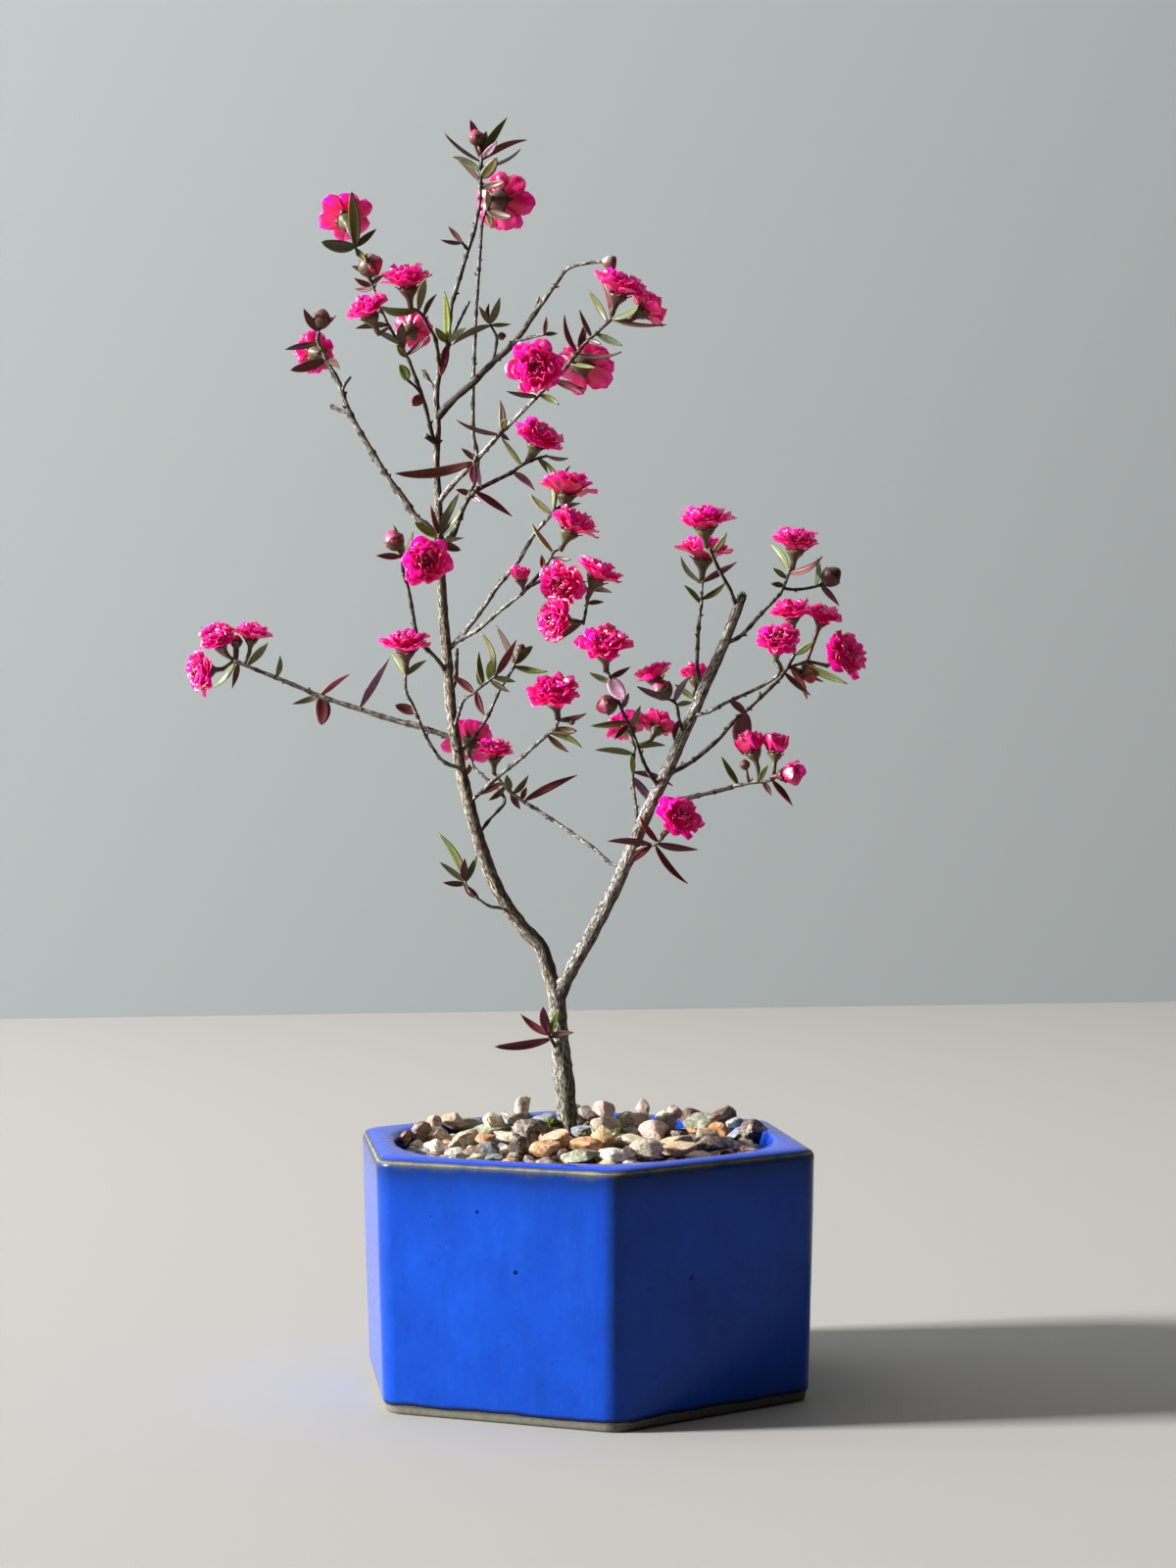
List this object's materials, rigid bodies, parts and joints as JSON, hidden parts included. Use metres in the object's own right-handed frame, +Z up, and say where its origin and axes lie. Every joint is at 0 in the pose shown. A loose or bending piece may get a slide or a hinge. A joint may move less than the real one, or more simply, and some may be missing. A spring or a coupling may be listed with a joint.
{
  "type": "potted bonsai",
  "caption": "Slender tea tree bonsai with a forked trunk, fine leafy shoots and double pink flowers, in a hexagonal blue glazed pot topped with pebbles.",
  "frame": {"origin": "centre of the pot's underside, on the surface that the pot stands on", "axes": "+Z up along the pot's axis; -Y towards the pot corner at the viewer's side; +X to the right of a viewer who looks along +Y"},
  "size_m": [0.2031, 0.1504, 0.3948],
  "materials": {
    "glaze": "gloss",
    "screen": "matte",
    "soil": "matte",
    "stone": "satin",
    "bark": "matte",
    "leaf": "satin",
    "petal": "satin"
  },
  "bodies": {
    "root": {"pot": "glaze", "drain_screen": "screen", "soil": "soil", "gravel": "stone", "shoot_top": "leaf", "shoot_left_tip": "leaf", "shoot_high": "leaf", "shoot_crook_tip": "leaf", "shoot_rise_tip": "leaf", "shoot_middle_tip": "leaf", "shoot_stalk_tip": "leaf", "shoot_spray": "leaf", "shoot_short_tip": "leaf", "shoot_cross_tip": "leaf", "shoot_right_cross_tip": "leaf", "shoot_far_left": "leaf", "shoot_beside_tip": "leaf", "shoot_low_left": "leaf", "shoot_front_right": "leaf", "shoot_back_right": "leaf", "shoot_right_spur": "leaf", "shoot_fork_tip": "leaf", "shoot_front_tip": "leaf", "shoot_long_tip": "leaf", "shoot_low_right": "leaf", "shoot_front_spur": "leaf", "trunk_and_branches": "bark", "bloom_top": "petal", "bloom_left_high": "petal", "bloom_left_top": "petal", "bloom_left_upper": "petal", "bloom_left_inner": "petal", "bloom_left_middle": "petal", "bloom_facing_left": "petal", "bloom_facing_back": "petal", "bloom_middle_right": "petal", "bloom_left_front": "petal", "bloom_middle_low": "petal", "bloom_centre_high": "petal", "bloom_centre_half": "petal", "bloom_low_centre": "petal", "bloom_low_left": "petal", "bloom_behind_limb": "petal", "bloom_left_small": "petal", "bloom_front": "petal", "bloom_right_spur": "petal", "bloom_behind_spur": "petal", "bloom_right_upright": "petal", "bloom_right_high": "petal", "bloom_right_tip": "petal", "bloom_right_front": "petal", "bloom_right_most": "petal", "bloom_low_right_far": "petal", "bloom_low_front": "petal", "bloom_right_crown": "petal", "bloom_right_pair": "petal", "bloom_low_right": "petal", "bloom_centre": "petal", "bloom_far_left": "petal", "bloom_behind_right": "petal"}
  },
  "joints": []
}
